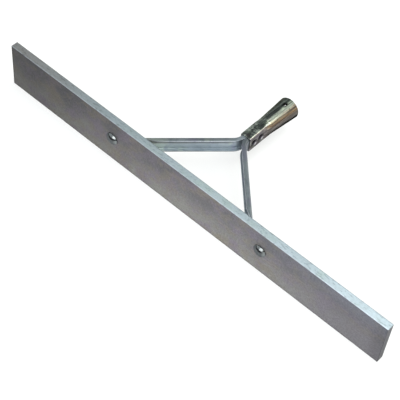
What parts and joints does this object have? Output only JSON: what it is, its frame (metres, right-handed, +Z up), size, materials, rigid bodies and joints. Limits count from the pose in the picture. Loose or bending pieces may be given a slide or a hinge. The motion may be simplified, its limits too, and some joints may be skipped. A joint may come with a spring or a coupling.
{
  "type": "asphalt rake head",
  "caption": "Asphalt rake head: straight bar blade, V-shaped channel yoke bolted behind it and a flared handle socket.",
  "frame": {"origin": "middle of the blade's bottom face, the working edge", "axes": "+X along the blade, +Y backwards from the blade to the handle, +Z up the blade"},
  "size_m": [0.7, 0.2399, 0.08],
  "materials": {
    "blade_aluminium": "mill finish, lightly scuffed",
    "galvanised_steel": "galvanised, satin",
    "bright_plating": "bright nickel plating",
    "zinc_fastener": "bright zinc plating",
    "rivet_steel": "plain polished steel"
  },
  "bodies": {
    "root": {"blade": "blade_aluminium", "left_leg": "galvanised_steel", "right_leg": "galvanised_steel", "handle_socket": "bright_plating", "lower_rivet": "rivet_steel", "upper_rivet": "rivet_steel", "left_bolt": "zinc_fastener", "right_bolt": "zinc_fastener", "left_washer": "zinc_fastener", "right_washer": "zinc_fastener", "left_spring_washer": "zinc_fastener", "right_spring_washer": "zinc_fastener", "left_nut": "zinc_fastener", "right_nut": "zinc_fastener"}
  },
  "joints": []
}
